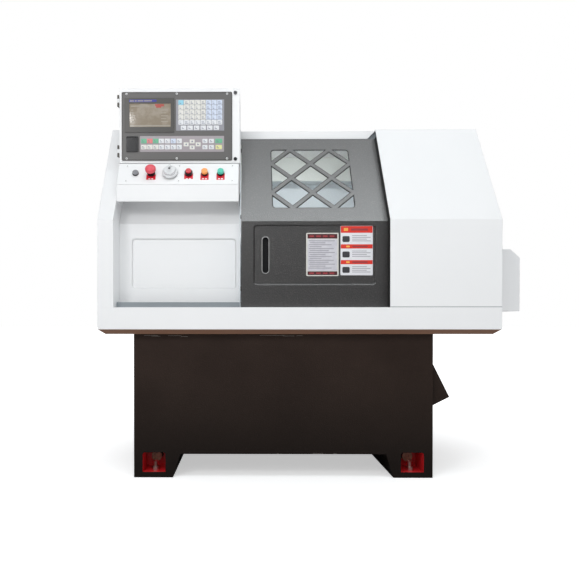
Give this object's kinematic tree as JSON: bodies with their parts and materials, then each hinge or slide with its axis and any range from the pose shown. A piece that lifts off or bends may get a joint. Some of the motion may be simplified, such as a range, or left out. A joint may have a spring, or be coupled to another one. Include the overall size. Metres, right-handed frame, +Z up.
{
  "type": "cnc turning lathe",
  "caption": "Small flat-bed CNC lathe on a dark pedestal with a chip tray, a white enclosure, a dark sliding door with a latticed window, and a control box over a button plate.",
  "frame": {"origin": "centre of the footprint on the floor", "axes": "+X along the spindle to the right, +Y away from the operator, +Z up"},
  "size_m": [1.62, 0.86, 1.469],
  "materials": {
    "pedestal_paint": "satin dark paint",
    "pocket_paint": "red paint",
    "white_paint": "satin white paint",
    "door_paint": "dark textured paint",
    "cast_green": "painted casting",
    "machined_steel": "ground",
    "rail_steel": "dark drawn bar",
    "zinc_steel": "zinc plated",
    "black_rubber": "matte",
    "belt_rubber": "matte",
    "nylon": "natural",
    "clear_pane": "clear",
    "black_gloss": "gloss",
    "black_matte": "matte",
    "panel_plastic": "satin",
    "screen_glass": "dark screen",
    "key_plastic": "satin",
    "stop_red": "satin",
    "signal_red": "gloss",
    "signal_orange": "gloss",
    "signal_green": "gloss",
    "lock_steel": "satin",
    "wheel_white": "satin",
    "motor_blue": "painted",
    "servo_black": "matte",
    "tank_grey": "satin",
    "tool_steel": "blackened"
  },
  "bodies": {
    "root": {"base_cabinet": "pedestal_paint", "levelling_pockets": "pocket_paint", "levelling_bolts": "zinc_steel", "chip_tray": "white_paint", "upper_guard": "white_paint", "headstock_cover": "white_paint", "splash_guard": "white_paint", "console_housing": "white_paint", "button_plate": "white_paint", "switch_barrels": "black_matte", "control_box": "white_paint", "panel_hinges": "black_matte", "right_housing": "white_paint", "motor_cover": "white_paint", "drain_spout": "pedestal_paint", "door_rails": "rail_steel", "wiper_seal": "black_rubber", "machine_bed": "cast_green", "headstock": "cast_green", "spindle_bearings": "machined_steel", "main_motor": "motor_blue", "drive_belt": "belt_rubber", "z_servo": "servo_black", "coolant_tank": "tank_grey", "coolant_pump": "motor_blue", "coolant_pipe": "black_matte", "cabinet_shell": "white_paint", "servo_drives": "servo_black"},
    "sliding_door": {"door_shell": "door_paint", "window_pane": "clear_pane", "flush_pull": "black_gloss", "door_bumpers": "black_rubber", "guide_shoes": "nylon"},
    "panel_front": {"panel_door": "white_paint", "cnc_panel": "panel_plastic", "cnc_screen": "screen_glass", "panel_keys": "key_plastic"},
    "socket_flap": {"usb_cover": "black_gloss"},
    "top_lock": {"lock_top": "black_matte"},
    "bottom_lock": {"lock_bottom": "black_matte"},
    "stop_push": {"estop_head": "stop_red"},
    "key_switch": {"key_plug": "lock_steel"},
    "handwheel": {"feed_handwheel": "wheel_white"},
    "red_push": {"red_button": "signal_red"},
    "orange_push": {"orange_button": "signal_orange"},
    "green_push": {"green_button": "signal_green"},
    "spindle_group": {"spindle": "machined_steel", "spindle_pulley": "machined_steel", "chuck_body": "machined_steel"},
    "jaw_a": {"chuck_jaw_1": "tool_steel"},
    "jaw_b": {"chuck_jaw_2": "tool_steel"},
    "jaw_c": {"chuck_jaw_3": "tool_steel"},
    "motor_rotor": {"motor_pulley": "machined_steel"},
    "carriage": {"saddle": "cast_green", "x_servo": "servo_black"},
    "z_screw_shaft": {"z_screw": "machined_steel"},
    "cross_carriage": {"cross_slide": "machined_steel"},
    "x_screw_shaft": {"x_screw": "machined_steel"},
    "tool_post": {"tool_turret": "machined_steel"},
    "rear_door": {"cabinet_door": "white_paint"}
  },
  "joints": [
    {"name": "door_slide", "type": "slide", "parent": "root", "child": "sliding_door", "axis": [1, 0, 0], "range_m": [0, 0.375]},
    {"name": "panel_hinge", "type": "hinge", "parent": "root", "child": "panel_front", "pos_m": [-0.7555, -0.318, 1.184], "axis": [0, 0, -1], "range_deg": [0, 110]},
    {"name": "top_lock_turn", "type": "hinge", "parent": "panel_front", "child": "top_lock", "pos_m": [-0.309, -0.323, 1.452], "axis": [0, -1, 0], "range_deg": [0, 90]},
    {"name": "bottom_lock_turn", "type": "hinge", "parent": "panel_front", "child": "bottom_lock", "pos_m": [-0.309, -0.323, 1.201], "axis": [0, -1, 0], "range_deg": [0, 90]},
    {"name": "flap_lift", "type": "hinge", "parent": "panel_front", "child": "socket_flap", "pos_m": [-0.703, -0.3285, 1.284], "axis": [-1, 0, 0], "range_deg": [0, 100]},
    {"name": "stop_press", "type": "slide", "parent": "root", "child": "stop_push", "axis": [0, 0.8746, -0.4848], "range_m": [0, 0.006], "stiffness_N_per_m": 1500, "springref_m": -0.003},
    {"name": "key_turn", "type": "hinge", "parent": "root", "child": "key_switch", "pos_m": [-0.684, -0.34782, 1.13923], "axis": [0, -0.8746, 0.4848], "range_deg": [0, 90]},
    {"name": "handwheel_turn", "type": "hinge", "parent": "root", "child": "handwheel", "pos_m": [-0.554, -0.34782, 1.13923], "axis": [0, -0.8746, 0.4848], "continuous": true},
    {"name": "red_press", "type": "slide", "parent": "root", "child": "red_push", "axis": [0, 0.8746, -0.4848], "range_m": [0, 0.004], "stiffness_N_per_m": 800, "springref_m": -0.003},
    {"name": "orange_press", "type": "slide", "parent": "root", "child": "orange_push", "axis": [0, 0.8746, -0.4848], "range_m": [0, 0.004], "stiffness_N_per_m": 800, "springref_m": -0.003},
    {"name": "green_press", "type": "slide", "parent": "root", "child": "green_push", "axis": [0, 0.8746, -0.4848], "range_m": [0, 0.004], "stiffness_N_per_m": 800, "springref_m": -0.003},
    {"name": "spindle_spin", "type": "hinge", "parent": "root", "child": "spindle_group", "pos_m": [-0.51, 0, 0.95], "axis": [1, 0, 0], "continuous": true},
    {"name": "motor_spin", "type": "hinge", "parent": "root", "child": "motor_rotor", "pos_m": [-0.66, 0, 0.22], "axis": [1, 0, 0], "continuous": true},
    {"name": "jaw_a_slide", "type": "slide", "parent": "spindle_group", "child": "jaw_a", "axis": [0, 0, -1], "range_m": [-0.004, 0.012]},
    {"name": "jaw_b_slide", "type": "slide", "parent": "spindle_group", "child": "jaw_b", "axis": [0, 0.866, 0.5], "range_m": [-0.004, 0.012]},
    {"name": "jaw_c_slide", "type": "slide", "parent": "spindle_group", "child": "jaw_c", "axis": [0, -0.866, 0.5], "range_m": [-0.004, 0.012]},
    {"name": "z_travel", "type": "slide", "parent": "root", "child": "carriage", "axis": [1, 0, 0], "range_m": [-0.22, 0.19]},
    {"name": "z_screw_turn", "type": "hinge", "parent": "root", "child": "z_screw_shaft", "pos_m": [0.19, -0.14, 0.745], "axis": [1, 0, 0], "range_deg": [-7930, 6850]},
    {"name": "x_travel", "type": "slide", "parent": "carriage", "child": "cross_carriage", "axis": [0, 1, 0], "range_m": [-0.07, 0.06]},
    {"name": "x_screw_turn", "type": "hinge", "parent": "carriage", "child": "x_screw_shaft", "pos_m": [0.19, -0.03, 0.848], "axis": [0, 1, 0], "range_deg": [-5050, 4330]},
    {"name": "post_index", "type": "hinge", "parent": "cross_carriage", "child": "tool_post", "pos_m": [0.19, -0.145, 0.93], "axis": [0, 0, 1], "continuous": true},
    {"name": "rear_door_hinge", "type": "hinge", "parent": "root", "child": "rear_door", "pos_m": [-0.786, 0.375, 0.9], "axis": [0, 0, 1], "range_deg": [0, 110]}
  ],
  "couplings": [
    {"joint": "motor_spin", "follows": "spindle_spin", "ratio": 1.5556},
    {"joint": "jaw_b_slide", "follows": "jaw_a_slide", "ratio": 1},
    {"joint": "jaw_c_slide", "follows": "jaw_a_slide", "ratio": 1},
    {"joint": "z_screw_turn", "follows": "z_travel", "rad_per_m": 628.32},
    {"joint": "x_screw_turn", "follows": "x_travel", "rad_per_m": 1256.6}
  ]
}
